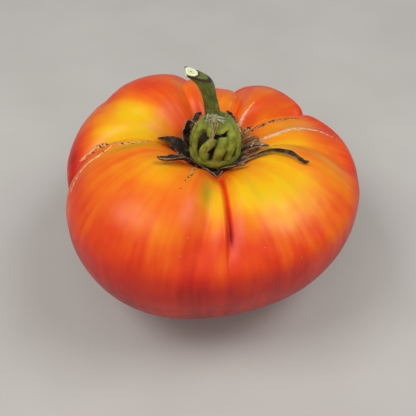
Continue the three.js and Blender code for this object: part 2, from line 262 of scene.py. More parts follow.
# %% [markdown]
# ## The skin
#
# A UV sphere is the start, because its rings and columns become the fruit's latitudes and
# meridians. The columns are turned so that they follow the creases and crowd beside them, and more
# rings are spent on the shoulders than underneath, where the surface is plain. The mesh ends up
# with a point every half millimetre or so where it matters, so the folds are real ones.

# %% Grow the sphere into the fruit
AROUND = 400
RINGS = 240
BELOW_SHARE = 0.3  # share of the rings that lie under the widest level
EVENNESS = 0.4  # 0 crowds the columns most beside the creases, 1 spreads them evenly


def crowd_columns(turn, latitude):
    """The azimuth of a column that stands at this angle on the plain sphere."""
    creases = list(CREASES.values())
    starts = np.array([crease[1] for crease in creases] + [creases[0][1] + 360.0])
    angle = starts[0] + turn % 360.0
    i = np.clip(np.searchsorted(starts, angle, side="right") - 1, 0, len(creases) - 1)
    t = (angle - starts[i]) / (starts[i + 1] - starts[i])
    share = lerp((1 - np.cos(np.pi * t)) / 2, t, EVENNESS)
    edges = np.stack([crease_azimuth(crease, latitude) for crease in creases])
    edges = np.vstack([edges, edges[:1] + 360.0])
    column = np.arange(len(i))
    return lerp(edges[i, column], edges[i + 1, column], share)


bpy.ops.mesh.primitive_uv_sphere_add(segments=AROUND, ring_count=RINGS, radius=1.0)
fruit_skin = take_new("fruit_skin")
ball = mesh_points(fruit_skin)
ring_share = (np.degrees(np.arcsin(np.clip(ball[:, 2], -1, 1))) + 90) / 180
latitude = np.where(
    ring_share < BELOW_SHARE,
    -90 + 90 * ring_share / BELOW_SHARE,
    90 * (ring_share - BELOW_SHARE) / (1 - BELOW_SHARE),
)
azimuth = crowd_columns(np.degrees(np.arctan2(ball[:, 1], ball[:, 0])), latitude)
skin = skin_point(azimuth, latitude)
print("skin:", len(skin), "points")

# %% [markdown]
# ## Lines on the skin
#
# Growth left marks: corky seams along some creases, a scar that arches over the right-hand lobe, a
# cracked streak at the back and fine cracks in front. Two dark lines down the right crease are painted
# shade, where the crease falls into shadow. Each is a line of stations, azimuth and latitude, with its
# half width at even steps along it. They could be painted in an image, but a measured distance stays
# crisp at any size. Each point of the skin keeps how far it is from a line in that line's own half
# widths, so the finish draws the line wherever that number is below 1.

# %% Measure the skin against the lines
REACH = 8.0  # mm beyond which a line has no effect
LINES = {
    "arc": ([0.5, 0.8, 1.2, 1.5, 1.6, 1.3, 0.8, 0.35, 0.15], [
        (11.5, 76), (12.5, 74.5), (14, 72), (15, 67.5), (18, 61), (19, 54.5), (19, 47.5),
        (17, 39.5), (13, 30), (9, 22),
    ]),
    "crack": ([0.8, 0.65, 0.45, 0.25, 0.06], [
        (53, 75.5), (54, 73.5), (55, 71), (55.5, 67.5), (56, 62.5), (56.5, 58),
    ]),
    "back": ([0.35, 0.45, 0.45, 0.3, 0.1], [(73, 69), (73.5, 64.5), (74, 58.5), (74, 50), (74, 44)]),
    "groove_far": ([0.3, 0.35, 0.5, 0.85, 0.95, 0.9, 0.85, 0.7, 0.5], [
        (183, 74.5), (193, 69.5), (195, 66.5), (194.5, 63), (190.5, 57.5), (186, 52.5), (183, 47.5),
        (183, 42.5), (185, 36), (186.5, 28),
    ]),
    "groove_near": ([0.35, 0.65, 0.7, 0.6, 0.55, 0.5, 0.4, 0.2], [
        (191, 54.5), (193, 53), (194, 50.5), (195.5, 47), (196, 41.5), (197, 36), (199.5, 30.5),
        (202.5, 25), (205, 19),
    ]),
    "zipper": ([2.4, 2.1, 1.6, 1.1, 0.85, 0.7, 0.55, 0.35], [
        (50, 78), (47, 75), (44, 71.5), (41, 70), (39, 67.5), (37, 62), (35, 55.5), (35.5, 46),
        (33, 38),
    ]),
    # The two lines down the right crease are painted shade: dark lines where the crease falls into
    # shadow, over a shallow groove.
    "right": ([0.3, 0.45, 0.4, 0.25, 0.1], [
        (362, 68.5), (360, 66), (357, 61.5), (354.5, 57), (353, 51.5), (351, 44),
    ]),
    "right_low_shade": ([0.1, 0.3, 0.3, 0.1], [(352, 66), (351.5, 60), (351, 54), (350, 47)]),
    "mark": ([1.1, 0.8, 0.5, 0.42, 0.2], [
        (250.5, 78), (252, 74.5), (254, 71), (253, 67.5), (253, 65), (252.5, 62),
    ]),
}


def beside(points, widths, stations):
    """How far each point is from a line on the skin, in half widths of the line there."""
    chart = rounded_line(stations, 60)
    line = skin_point(chart[:, 0], chart[:, 1])
    step = np.diff(line, axis=0)
    length = np.linalg.norm(step, axis=1)
    start = np.concatenate([[0], np.cumsum(length)[:-1]])
    low, high = line.min(0) - REACH, line.max(0) + REACH
    near = np.flatnonzero(((points > low) & (points < high)).all(1))
    nearest = np.full(len(near), REACH)
    along = np.zeros(len(near))
    for k in range(len(step)):
        offset = points[near] - line[k]
        way = step[k] / length[k]
        reach = np.clip(offset @ way, 0, length[k])
        distance = np.linalg.norm(offset - reach[:, None] * way, axis=1)
        closer = distance < nearest
        nearest = np.where(closer, distance, nearest)
        along = np.where(closer, start[k] + reach, along)
    share = along / (start[-1] + length[-1]) * (len(widths) - 1)
    in_widths = np.full(len(points), REACH)
    in_widths[near] = nearest / np.interp(share, np.arange(len(widths)), widths)
    return in_widths


MARKS = {name: beside(skin, *line) for name, line in LINES.items()}
print("lines on the skin:", ", ".join(MARKS))

# %% [markdown]
# ## Small relief
#
# No grown skin is as true as a formula. Soft undulations a few millimetres long break up the
# reflections, the left lip of the front fold rolls over a little, and the corky seams stand proud
# of the skin or lie a little below it.

# %% Add the relief
# Height and length of the soft undulations, and the seed of each.
UNDULATIONS = [(0.16, 13, 3), (0.05, 4.5, 4)]
# The rolled lip: where it lies across the front fold, its width, its rise and its reach over it.
LIP_AT, LIP_WIDTH, LIP_RISE, LIP_REACH = -2.6, 2.0, 0.7, 0.9
RIDGE_WIDTH = 1.2  # of a seam's relief, in half widths of the seam
LUMPINESS = 0.8
# How far each seam stands out of the skin, and the length of the lumps along it, in mm.
SEAM_RISES = [
    ("arc", 0.20, 2.2), ("crack", -0.25, 2.5), ("back", -0.12, 2.5), ("groove_far", 0.16, 1.8),
    ("groove_near", 0.20, 2.4), ("zipper", 0.16, 1.4), ("right", -0.25, 3.0), ("right_low_shade", -0.2, 3.0),
    ("mark", 0.06, 1.6),
]


def ridge(name):
    """1 on a line, falling to nothing a little way beyond its edges."""
    return np.exp(-((MARKS[name] / RIDGE_WIDTH) ** 2))


def relief_height(points):
    height = sum(rise * waves(points, length, seed, 9) for rise, length, seed in UNDULATIONS)
    for name, rise, grain in SEAM_RISES:
        height += rise * ridge(name) * (1 + LUMPINESS * waves(points, grain, 5))
    return height


out = skin_normal(azimuth, latitude, False)
radius = np.hypot(skin[:, 0], skin[:, 1])
front_across = across_crease(CREASES["front"], azimuth, latitude, radius)
lip = np.exp(-(((front_across - LIP_AT) / LIP_WIDTH) ** 2)) * band(latitude, 20, 20, 66, 12)
turn = np.radians(azimuth)
east = np.stack([-np.sin(turn), np.cos(turn), 0 * turn], -1)
# The relief dies out where the fruit rests and deep in the bowl.
calm = smooth((skin[:, 2] - 1.5) / 6) * (1 - smooth((latitude - 80) / 6))
skin = skin + out * (relief_height(skin) * calm)[:, None]
skin = skin + (out * LIP_RISE + east * LIP_REACH) * lip[:, None]
move_points(fruit_skin, skin)
smooth_shading(fruit_skin)
print("fruit_skin:", len(fruit_skin.data.polygons), "faces")

# %% [markdown]
# ## How ripe each place is
#
# The skin ripened in patches: yellow fans and streaks that start at the bowl, orange shoulders and
# red flanks. One number says how ripe a place is, and the finish turns it into a colour. The same
# number also carries painted shade: a deeper red line down the front fold, where its wall falls into
# shadow. The patches are painted as soft spots in the order in which the eye meets them.

# %% Paint the ripeness
# Azimuth, latitude, reach around and reach along in mm, and the change.
RIPENESS = {
    "front right fan": (290, 62, 7, 15, -0.28),
    "front right fan, outer": (307, 57, 10, 14, -0.27),
    "front right fan, lower": (302, 41, 6, 13, -0.15),
    "front right fan, far": (325, 58, 7, 14, -0.19),
    "left front patch": (233, 67, 8, 9, -0.25),
    "left front, lower": (252, 40, 7, 9, -0.11),
    "top of the front fold": (277, 64, 3, 8, 0.03),
    "strip beside the front fold": (271.8, 54, 2.2, 14, -0.24),
    "green streak": (266, 62, 2.6, 8, -0.12),
    "back left patch": (160, 61, 6, 11, -0.32),
    "back left shoulder": (134, 58, 9, 12, 0.15),
    "back left strip": (177, 51, 5.5, 12, -0.36),
    "back left strip, inner": (183, 66, 6, 8, -0.24),
    "beside the left crease": (196, 66, 4, 9, -0.16),
    "right lobe": (4, 62, 7, 11, -0.20),
    "right lobe, inner": (340, 73, 9, 9, -0.22),
    "right shoulder": (340, 34, 12, 16, -0.14),
    "right side": (330, 14, 16, 16, -0.12),
    "low left": (207, 13, 8, 10, -0.13),
    "low right": (300, 10, 14, 12, -0.04),
    # The spot at the foot of the front fold is painted shade: it deepens the red where the fold falls
    # into shadow.
    "painted shade at the foot of the front fold": (278, 38, 4, 8, 0.13),
    "low centre, upper": (269, 33, 6, 10, 0.12),
    "left flank": (182, 22, 8, 8, 0.22),
    "left end": (205, 32, 4, 8, 0.08),
    "right of the scar": (27, 44, 6, 26, -0.08),
    "back right lobe": (55, 58, 10, 12, 0.08),
    "back right crown": (48, 56, 7, 9, -0.05),
    "back left, far": (122, 40, 14, 9, 0.16),
}
# The same for how green it is, and for how corky the bowl's wall is.
GREEN = [
    (266.3, 63, 1.8, 7, 0.7), (296, 62, 1.2, 8, 0.22), (318, 58, 1.0, 9, 0.12),
    (198.5, 66, 1.6, 8, 0.6), (197.6, 58.5, 1.2, 4, 0.35),
]
CORKY = [
    (0, 78, 5.5, 4.5, 1.1), (22, 79, 5, 5, 1.0), (44, 79, 4, 5, 1.0), (332, 80, 4, 3, 0.9),
    (176, 80, 4, 4, 0.9),
]
# How ripe the plain skin is at each latitude, under the patches.
PLAIN_RIPENESS = [
    (-90, 0.80), (-20, 0.86), (0, 0.78), (15, 0.63), (30, 0.55), (42, 0.46), (56, 0.43), (70, 0.44),
    (80, 0.52),
]
# Painted shade down the front fold, a deeper red line where its wall falls into shadow: where it lies
# across the fold, its half width and soft edge in mm.
FOLD_SHADE_AT, FOLD_SHADE_HALF, FOLD_SHADE_EDGE = 0.7, 0.1, 1.2
FOLD_SHADE_STRENGTH = 0.36
DEGREE_UP = 1.05  # mm along the skin in a degree of latitude, near enough


def spot(place):
    at, height, around, along, change = place
    r = np.maximum(np.hypot(skin[:, 0], skin[:, 1]), INNER_RADIUS)
    side = np.radians(wrap(azimuth - at)) * r / around
    climb = (latitude - height) * DEGREE_UP / along
    return change * np.exp(-(side**2) - climb**2)


ripeness_and_shade = np.interp(latitude, *np.array(PLAIN_RIPENESS).T)
ripeness_and_shade += sum(spot(place) for place in RIPENESS.values())
# Painted shade: the line down the front fold is made riper, so a deeper red, where its wall falls into
# shadow.
fold_shade = 1 - smooth((np.abs(front_across - FOLD_SHADE_AT) - FOLD_SHADE_HALF) / FOLD_SHADE_EDGE)
ripeness_and_shade += FOLD_SHADE_STRENGTH * fold_shade * band(latitude, 26, 12, 70, 10)
cork_patch = sum(spot(place) for place in CORKY) + 0.8 * smooth((latitude - 79.5) / 3.0)
write_field(fruit_skin, "ripeness_and_shade", ripeness_and_shade)
write_field(fruit_skin, "flow", np.stack([np.cos(turn), np.sin(turn), latitude / 90], -1))
write_field(fruit_skin, "low_down", 1 - 0.8 * smooth((latitude - 25) / 30))
write_field(fruit_skin, "green", sum(spot(place) for place in GREEN))
write_field(fruit_skin, "cork_patch", np.minimum(cork_patch, 1))
for name, in_widths in MARKS.items():
    write_field(fruit_skin, name, in_widths)
print("ripeness from", ripeness_and_shade.min().round(2), "to", ripeness_and_shade.max().round(2))

# %% [markdown]
# ## The stem and its knob
#
# The stem is one grown piece: a thick green stalk, cut on a slant, whose foot has swollen into a
# knob of arched ribs. Each rib and the stalk is a tube along a curve, and the tubes are melted into
# one skin by a voxel remesh, which leaves the tucked-in seams that grown ribs have.

# %% The stem's measures
KNOB_X = 1.4
# The core inside the ribs: how far out it reaches, and at what height over the bowl's floor.
CORE = [
    (0.0, -0.6), (3.3, -0.6), (3.4, 3.4), (5.9, 5.6), (6.9, 10.0), (6.2, 15.6), (4.0, 20.6), (0.0, 22.4),
]
# The ribs' middle surface: how far from the knob's axis it lies at each height.
RIB_REACH = [
    (5.6, 5.6), (7.0, 7.4), (9.0, 8.0), (12.2, 7.8), (15.8, 6.7), (19.2, 4.9), (21.6, 2.6), (23.2, 1.6),
]
RIB_HALF = 2.0  # half the thickness of a usual rib
# Half thickness, then azimuth and height along each rib, from the neck down.
RIBS = {
    "left arch": (1.55, [(196, 22.2), (197, 19.5), (202, 15.5), (209, 11.5), (219, 8.6), (228, 7.0)]),
    "left pad": (1.7, [(238, 22.8), (244, 20.4), (252, 18.0)]),
    "centre pad": (2.7, [(282, 23.2), (285, 20.8), (287, 18.5)]),
    "right pad": (2.3, [(322, 22.8), (320, 21.0), (317, 19.0)]),
    "strut": (1.8, [(263, 17.5), (253, 15.6), (240, 13.4), (234, 10.8), (242, 7.6)]),
    "strut foot": (2.2, [(243, 12.2), (240, 9.8), (246, 7.4)]),
    "centre": (2.25, [(292, 17.5), (287, 15.2), (278, 12.2), (270, 9.4), (266, 7.2)]),
    "right": (2.6, [(344, 20.6), (333, 17.6), (318, 14.2), (305, 10.8), (296, 7.6)]),
    "right edge": (2.4, [(374, 21.0), (360, 17.5), (345, 13.5), (334, 10.0), (326, 7.5)]),
    "back right": (2.2, [(405, 21.3), (393, 17.0), (380, 12.5), (368, 9.0), (362, 7.2)]),
    "back": (2.2, [(434, 21.4), (426, 17.0), (417, 12.5), (409, 9.0), (405, 7.2)]),
    "back middle": (2.2, [(464, 21.4), (462, 17.0), (457, 12.5), (453, 9.0), (451, 7.2)]),
    "back left": (2.2, [(496, 21.4), (496, 17.0), (496, 12.5), (496, 9.0), (497, 7.2)]),
    "left": (2.0, [(528, 21.4), (530, 17.0), (534, 12.5), (540, 9.0), (546, 7.2)]),
}
FOOT_RING = (7.4, 7.3, 2.3)  # radius, height and half thickness of the swelling at the ribs' feet
# Stations of the stalk, with its radius at each.
STALK = [
    (0.6, 0.0, 64.5, 3.6),
    (0.6, 0.0, 69.0, 3.15),
    (0.2, 0.0, 72.9, 2.75),
    (-0.23, 0.0, 76.5, 2.6),
    (-0.76, 0.0, 79.5, 2.48),
    (-1.25, 0.0, 82.1, 2.54),
    (-1.9, 0.0, 84.5, 2.7),
    (-3.0, 0.0, 86.5, 2.5),
    (-4.6, 0.0, 88.2, 2.2),
    (-6.4, 0.0, 89.7, 2.05),
    (-8.5, 0.0, 91.3, 2.0),
    (-10.5, 0.0, 92.8, 2.0),
]
# The slanting cut, and the torn end beyond it: a place on each face and the way it faces.
CUT_AT = np.array([-6.2, 0.0, 90.25])
CUT_FACES = unit(np.array([0.33, -0.12, 0.94]))
TEAR_AT = np.array([-9.0, 0.0, 90.0])
TEAR_FACES = unit(np.array([-0.96, -0.25, 0.10]))
PITH_AT = CUT_AT + np.array([-0.94, 0.0, 0.33])
CUT_LONG, CUT_WIDE = 2.6, 2.1  # half the pale face's length and width
PALE_EDGE = 0.6  # the number that the pale face's edge gets, where the middle of the pith has 0
print("ribs:", len(RIBS))


# %% Tubes along curves
def tube(name, points, radii, sides=4):
    bpy.ops.curve.primitive_bezier_curve_add()
    piece = take_new(name)
    curve = piece.data
    curve.splines.clear()
    spline = curve.splines.new("POLY")
    spline.points.add(len(points) - 1)
    for knot, place, radius in zip(spline.points, in_frame(points), radii):
        knot.co = (*place, 1)
        knot.radius = radius
    curve.dimensions = "3D"
    curve.bevel_depth = MM
    curve.bevel_resolution = sides
    curve.use_fill_caps = True
    piece.location = (0, 0, 0)
    only(piece)
    bpy.ops.object.convert(target="MESH")
    return bpy.context.object


def rib_tube(number, half, stations):
    reach = np.array(RIB_REACH)
    path = rounded_line(stations, 28)
    r = np.interp(path[:, 1], reach[:, 0], reach[:, 1]) + RIB_HALF - half
    at = np.radians(path[:, 0])
    line = np.stack([KNOB_X + r * np.cos(at), r * np.sin(at), FLOOR + path[:, 1]], -1)
    swell = np.sin(np.pi * np.minimum(1, 1.3 * np.linspace(0, 1, len(line))))
    return tube(f"rib_{number}", line, half * (0.8 + 0.2 * swell))


parts = [rib_tube(number, *rib) for number, rib in enumerate(RIBS.values())]
stalk = rounded_line(STALK, 60)
parts.append(tube("stalk", stalk[:, :3], stalk[:, 3], 8))
ring_radius, ring_height, ring_half = FOOT_RING
ring_turn = np.linspace(0, 2 * math.pi, 49)
ring_line = ring_radius * np.stack([np.cos(ring_turn), np.sin(ring_turn), 0 * ring_turn], -1)
ring_line += [KNOB_X * 0.8, 0, FLOOR + ring_height]
parts.append(tube("foot_ring", ring_line, np.full(49, ring_half)))
print("tubes for the stem:", len(parts))

# %% The core and the melting together
bpy.ops.mesh.primitive_uv_sphere_add(segments=48, ring_count=40, radius=1.0)
core = take_new("knob_core")
ball = mesh_points(core)
share = (np.degrees(np.arcsin(np.clip(ball[:, 2], -1, 1))) + 90) / 180
knots = np.array(CORE)
way = np.concatenate([[0], np.cumsum(np.linalg.norm(np.diff(knots, axis=0), axis=1))])
core_r = np.interp(share * way[-1], way, knots[:, 0])
core_z = np.interp(share * way[-1], way, knots[:, 1]) + FLOOR
core_turn = np.arctan2(ball[:, 1], ball[:, 0])
move_points(core, np.stack([core_r * np.cos(core_turn), core_r * np.sin(core_turn), core_z], -1))

VOXEL = 0.22
bpy.ops.object.select_all(action="DESELECT")
for part in parts:
    part.select_set(True)
core.select_set(True)
bpy.context.view_layer.objects.active = core
bpy.ops.object.join()
stem_and_knob = take_new("stem_and_knob")
apply_modifier(stem_and_knob, "REMESH", mode="VOXEL", voxel_size=VOXEL * MM)
bpy.ops.object.mode_set(mode="EDIT")
for place, facing in ((CUT_AT, CUT_FACES), (TEAR_AT, TEAR_FACES)):
    bpy.ops.mesh.select_all(action="SELECT")
    bpy.ops.mesh.bisect(
        plane_co=in_frame(place), plane_no=facing, use_fill=True, clear_outer=True, threshold=1e-6
    )
bpy.ops.object.mode_set(mode="OBJECT")
apply_modifier(stem_and_knob, "REMESH", mode="VOXEL", voxel_size=VOXEL * MM)
apply_modifier(stem_and_knob, "SMOOTH", factor=0.5, iterations=2)
smooth_shading(stem_and_knob)
print("stem_and_knob:", len(stem_and_knob.data.polygons), "faces")

# %% Measure the stem for its finish
# Painted shade: the gaps between the ribs are coloured nearly black, darkest this far in from the crests.
GAP_SHADE_DEPTH = 2.2  # how far in from the ribs' crests a gap is at its darkest
stem = mesh_points(stem_and_knob) / MM - AXIS
from_axis = np.hypot(stem[:, 0] - KNOB_X, stem[:, 1])
knob_height = stem[:, 2] - FLOOR
crests = np.interp(knob_height, *np.array(RIB_REACH).T) + RIB_HALF
# How deep each point lies in a gap, which the finish paints as shade.
gap_shade = np.clip((crests - from_axis) / GAP_SHADE_DEPTH, 0, 1) * band(knob_height, 4, 3, 19.5, 2)
write_field(stem_and_knob, "gap_shade", gap_shade)
write_field(stem_and_knob, "above_knob", smooth((knob_height - 20) / 4))
cut = (stem - CUT_AT) @ CUT_FACES
tear = (stem - TEAR_AT) @ TEAR_FACES
on_face = smooth((np.maximum(cut, tear) + 0.3) / 0.2)
write_field(stem_and_knob, "cut_face", on_face)
cut_way = unit(np.array([CUT_FACES[2], 0.0, -CUT_FACES[0]]))
off = stem - PITH_AT
write_field(stem_and_knob, "rim", smooth((cut + 1.5) / 0.8))
from_pith = PALE_EDGE * np.hypot(off @ cut_way / CUT_LONG, off[:, 1] / CUT_WIDE)
write_field(stem_and_knob, "from_pith", from_pith)
print("stem: a share of", (gap_shade > 0.5).mean().round(2), "lies in the gaps")

# %% Raise the stalk's fibres
# Nine broad fibres and seventeen fine ones run up the stalk, and fade out over the knob.
round_stem = np.arctan2(stem[:, 1], stem[:, 0] - np.interp(stem[:, 2], stalk[:, 2], stalk[:, 0]))
fibres = 0.07 * np.sin(round_stem * 9 + stem[:, 2] * 0.05) + 0.05 * np.sin(round_stem * 17 + 1.3)
bumps = (fibres + 0.08 * waves(stem, 2.4, 11)) * smooth((knob_height - 18) / 5)
bumps += 0.03 * waves(stem, 1.6, 12)
bumps *= 1 - smooth((cut + 0.6) / 0.4)
stem = stem + mesh_normals(stem_and_knob) * bumps[:, None]
move_points(stem_and_knob, stem)
print("fibres and bumps up to", np.abs(bumps).max().round(2), "mm")

# %% [markdown]
# ## The dry calyx
#
# The green leaves that once wrapped the flower have dried to dark, shrivelled blades on a thin
# collar that lines the bowl. A flat grid is the start of each: it is laid over the skin along its
# stations, its edges curled and its face wrinkled, and a Solidify modifier gives it its thickness.

# %% The calyx's measures
CALYX_THICK = 0.4
CALYX_CLEAR = 0.7
# Widths at even steps along it, curl of the edges, twist in degrees towards the tip, and stations:
# azimuth, latitude, height over the skin.
SEPALS = {
    "long_right": ([2.8, 1.6, 1.1, 1.2, 1.4, 1.1, 0.3], 0.5, 40, [
        (306, 83.5, 0.1), (318, 79.5, 0.3), (326.5, 76.5, 0.5), (332, 74, 0.7), (336, 71, 0.8),
        (337, 67.5, 0.8), (337, 63.5, 0.8), (335.5, 60, 0.6), (335, 57.5, 0.4), (336, 55.5, 0.9),
    ]),
    "front_right": ([3.4, 2.6, 2.0, 1.3, 0.3], 0.6, 0, [
        (290, 83, 0.1), (297, 78, 0.5), (305, 75.5, 0.8), (310, 75, 1.2),
    ]),
    "boat_left": ([2.2, 2.4, 2.8, 2.5, 1.4, 0.3], 1.3, 0, [
        (250, 83, 0.1), (243, 80, 0.4), (237, 77, 0.8), (234.5, 73.5, 1.0), (233, 70.5, 1.2),
        (229.5, 69.5, 1.5), (228, 69, 2.2),
    ]),
    "broad_left": ([11.0, 9.4, 5.0, 1.9, 0.2], 0.6, 0, [
        (180, 84, 0.0), (177, 81.5, -0.3), (176, 79, -0.9), (177.5, 77, -1.5), (180, 75, -2.0),
    ]),
    "hook": ([5.0, 4.4, 3.4, 2.2, 0.6], 0.9, 0, [
        (151, 83.5, 0.2), (149, 81, 0.8), (146, 80, 2.6), (142, 79.5, 4.2), (136, 80, 5.4),
    ]),
    # This blade hugs the knob as a dark arc: a dried sepal, and also painted shade for the shadow in the
    # bowl behind the knob.
    "back_left_and_shade": ([3.4, 2.8, 2.0, 0.4], 0.7, 0, [
        (130, 83, 0.0), (121, 80, 0.1), (113, 78, 0.1), (105, 77, 0.0),
    ]),
    "back_right": ([3.6, 3.0, 2.0, 0.4], 0.7, 0, [
        (52, 83, -0.4), (55, 79, 0.0), (62, 76.5, 0.5), (72, 74, 0.8),
    ]),
    "right": ([6.0, 4.6, 3.0, 1.8, 0.4], 0.7, 0, [
        (364, 83, -0.6), (356, 80, 0.0), (348.5, 77, 0.4), (343, 72.5, 0.7),
    ]),
}
# How much further the tan of a worn sepal reaches in from its edge.
PALER = {"long_right": 0.1, "right": 0.5, "broad_left": -0.1}
ACROSS = 14  # faces across a sepal, and along each stretch between two stations
# Latitude of each ring of the collar and its height over the skin, from the middle of the bowl out.
COLLAR_RINGS = [(88.2, 0.7), (87, 0.7), (85.8, 0.7), (84.8, 0.7), (84, 0.75), (83.2, 0.75), (82.6, 0.6)]
# Where its edge reaches further out: azimuth, spread, and how many degrees of latitude further.
COLLAR_REACHES = [(170, 28, 2.6), (10, 45, 1.6), (310, 28, 1.6), (281, 6, 1.8)]
# Waves that make its edge ragged: how many go round, how far they reach, and where they start.
COLLAR_RAGS = [(7, 0.5, 0), (13, 0.4, 40), (29, 0.4, 0)]
print("stations of the sepals:", sum(len(values[-1]) for values in SEPALS.values()))


# %% Lay a grid as a sepal
def grid(name, columns, rows):
    """A flat grid, with the place of each point across and along it, from 0 to 1."""
    bpy.ops.mesh.primitive_grid_add(x_subdivisions=columns, y_subdivisions=rows, size=1.0)
    piece = take_new(name)
    flat = mesh_points(piece)[:, :2] + 0.5
    return piece, flat[:, 0], flat[:, 1]


def sepal(name, seed, widths, curl, twist, stations):
    piece, over, along = grid("sepal_" + name, ACROSS, ACROSS * (len(stations) - 1))
    chart = rounded_line(stations, 80)
    fine = np.linspace(0, 1, len(chart))
    at, height = (np.interp(along, fine, chart[:, axis]) for axis in range(2))
    line = skin_point(chart[:, 0], chart[:, 1], False)
    line = line + skin_normal(chart[:, 0], chart[:, 1], False) * (CALYX_CLEAR + chart[:, 2:])
    centre = np.stack([np.interp(along, fine, line[:, axis]) for axis in range(3)], -1)
    way = np.gradient(line, axis=0)
    way = unit(np.stack([np.interp(along, fine, way[:, axis]) for axis in range(3)], -1))
    side = unit(np.cross(skin_normal(at, height, False), way))
    normal = np.cross(way, side)
    turned = np.radians(twist * smooth(along))[:, None]
    side = side * np.cos(turned) + normal * np.sin(turned)
    normal = np.cross(way, side)
    # Its width wavers, its edges curl up and its face is wrinkled both ways.
    ragged = 1 + 0.08 * np.sin(along * 23 + seed) + 0.06 * np.sin(along * 41 + 2 * seed)
    wide = np.interp(along, np.linspace(0, 1, len(widths)), widths) * ragged
    share = 2 * over - 1
    edge = curl * share**2 * np.minimum(1, 3 * along) * np.minimum(1, wide / 2)
    place = centre + side * (share * wide / 2)[:, None]
    wrinkle = 0.12 * np.sin(share * 7 + 3 * waves(place, 5, seed)) + 0.2 * waves(place, 2.6, seed + 40)
    place = place + normal * (edge + wrinkle * np.minimum(1, 3 * along))[:, None]
    move_points(piece, place)
    write_field(piece, "edge", (-share if name == "long_right" else np.abs(share)) + PALER.get(name, 0))
    apply_modifier(piece, "SOLIDIFY", thickness=CALYX_THICK * MM, offset=1.0)
    apply_modifier(piece, "SUBSURF", levels=1, render_levels=1)
    smooth_shading(piece)
    return piece


sepals = [sepal(name, seed, *values) for seed, (name, values) in enumerate(SEPALS.items())]
print("sepals:", len(sepals))

# %% The collar
bpy.ops.object.select_all(action="DESELECT")
calyx_collar, over, along = grid("calyx_collar", 180, 22)
rings = np.array(COLLAR_RINGS)
knot = along * (len(rings) - 1)
height = np.interp(knot, np.arange(len(rings)), rings[:, 0])
lift = np.interp(knot, np.arange(len(rings)), rings[:, 1])
at = over * 360
ragged = sum(far * np.exp(-((wrap(at - centre) / spread) ** 2)) for centre, spread, far in COLLAR_REACHES)
ragged += sum(far * np.sin(np.radians(at * count + start)) for count, far, start in COLLAR_RAGS)
ragged *= along**3
place = skin_point(at, height - ragged)
lining = lift + 0.18 * np.sin(np.radians(at * 24)) * along + 0.16 * waves(place, 2.2, 21)
place[:, 2] += lining
move_points(calyx_collar, place)
write_field(calyx_collar, "edge", along)
only(calyx_collar)
bpy.ops.object.mode_set(mode="EDIT")
bpy.ops.mesh.select_all(action="SELECT")
bpy.ops.mesh.remove_doubles(threshold=0.01 * MM)
bpy.ops.mesh.normals_make_consistent(inside=False)
bpy.ops.object.mode_set(mode="OBJECT")
apply_modifier(calyx_collar, "SOLIDIFY", thickness=CALYX_THICK * MM, offset=0.0)
smooth_shading(calyx_collar)
print("calyx_collar:", len(calyx_collar.data.polygons), "faces")

# %% [markdown]
# ## Fine hairs
#
# A tomato's stem is downy. A particle system could grow the hairs, but the export wants plain
# meshes, so one hair is a needle of three sides. Hundreds of them stand on the stalk and the ribs at
# random places, with the dice seeded so that they fall the same way each run. Some fifty longer ones
# spring from the front of the neck and hang over the knob.

# %% Grow the hairs
def needles(name, roots, tips, widths):
    """Three-sided needles, each bent a little at its middle."""
    count = len(roots)
    dice = np.random.default_rng(77)
    way = unit(tips - roots)
    side = unit(np.cross(way, dice.normal(size=(count, 3))))
    other = np.cross(way, side)
    bend = dice.normal(size=(count, 1)) * 0.12 * np.linalg.norm(tips - roots, axis=1, keepdims=True)
    points = []
    for share, thin in ((0.0, 1.0), (0.5, 0.7)):
        centre = lerp(roots, tips, share) + side * bend * share
        for k in range(3):
            turn_by = 2 * math.pi * k / 3
            spoke = side * math.cos(turn_by) + other * math.sin(turn_by)
            points.append(centre + spoke * (widths * thin)[:, None])
    points.append(tips)
    cloud = np.stack(points, 1).reshape(-1, 3)
    faces = []
    for n in range(count):
        b = 7 * n
        faces += [(b, b + 2, b + 1)]
        for k in range(3):
            j = (k + 1) % 3
            faces += [(b + k, b + j, b + 3 + j, b + 3 + k), (b + 3 + k, b + 3 + j, b + 6)]
    mesh = bpy.data.meshes.new(name)
    mesh.from_pydata(in_frame(cloud).tolist(), [], faces)
    piece = bpy.data.objects.new(name, mesh)
    bpy.context.scene.collection.objects.link(piece)
    return piece


HAIRS = 900
HAIR_LENGTH = (0.35, 1.0)
HAIR_HALF = 0.022
HAIR_ROOT = 0.05  # how deep it stands in the skin
dice = np.random.default_rng(5)
normals = mesh_normals(stem_and_knob)
ready = np.flatnonzero((knob_height > 5) & (cut < -1.0) & ((gap_shade < 0.45) | (knob_height > 20)))
chosen = dice.choice(ready, HAIRS, replace=False)
lean = unit(normals[chosen] + 0.45 * dice.normal(size=(HAIRS, 3)))
length = dice.uniform(*HAIR_LENGTH, HAIRS)
roots = stem[chosen] - normals[chosen] * HAIR_ROOT
stem_hairs = needles("stem_hairs", roots, roots + lean * length[:, None], np.full(HAIRS, HAIR_HALF))

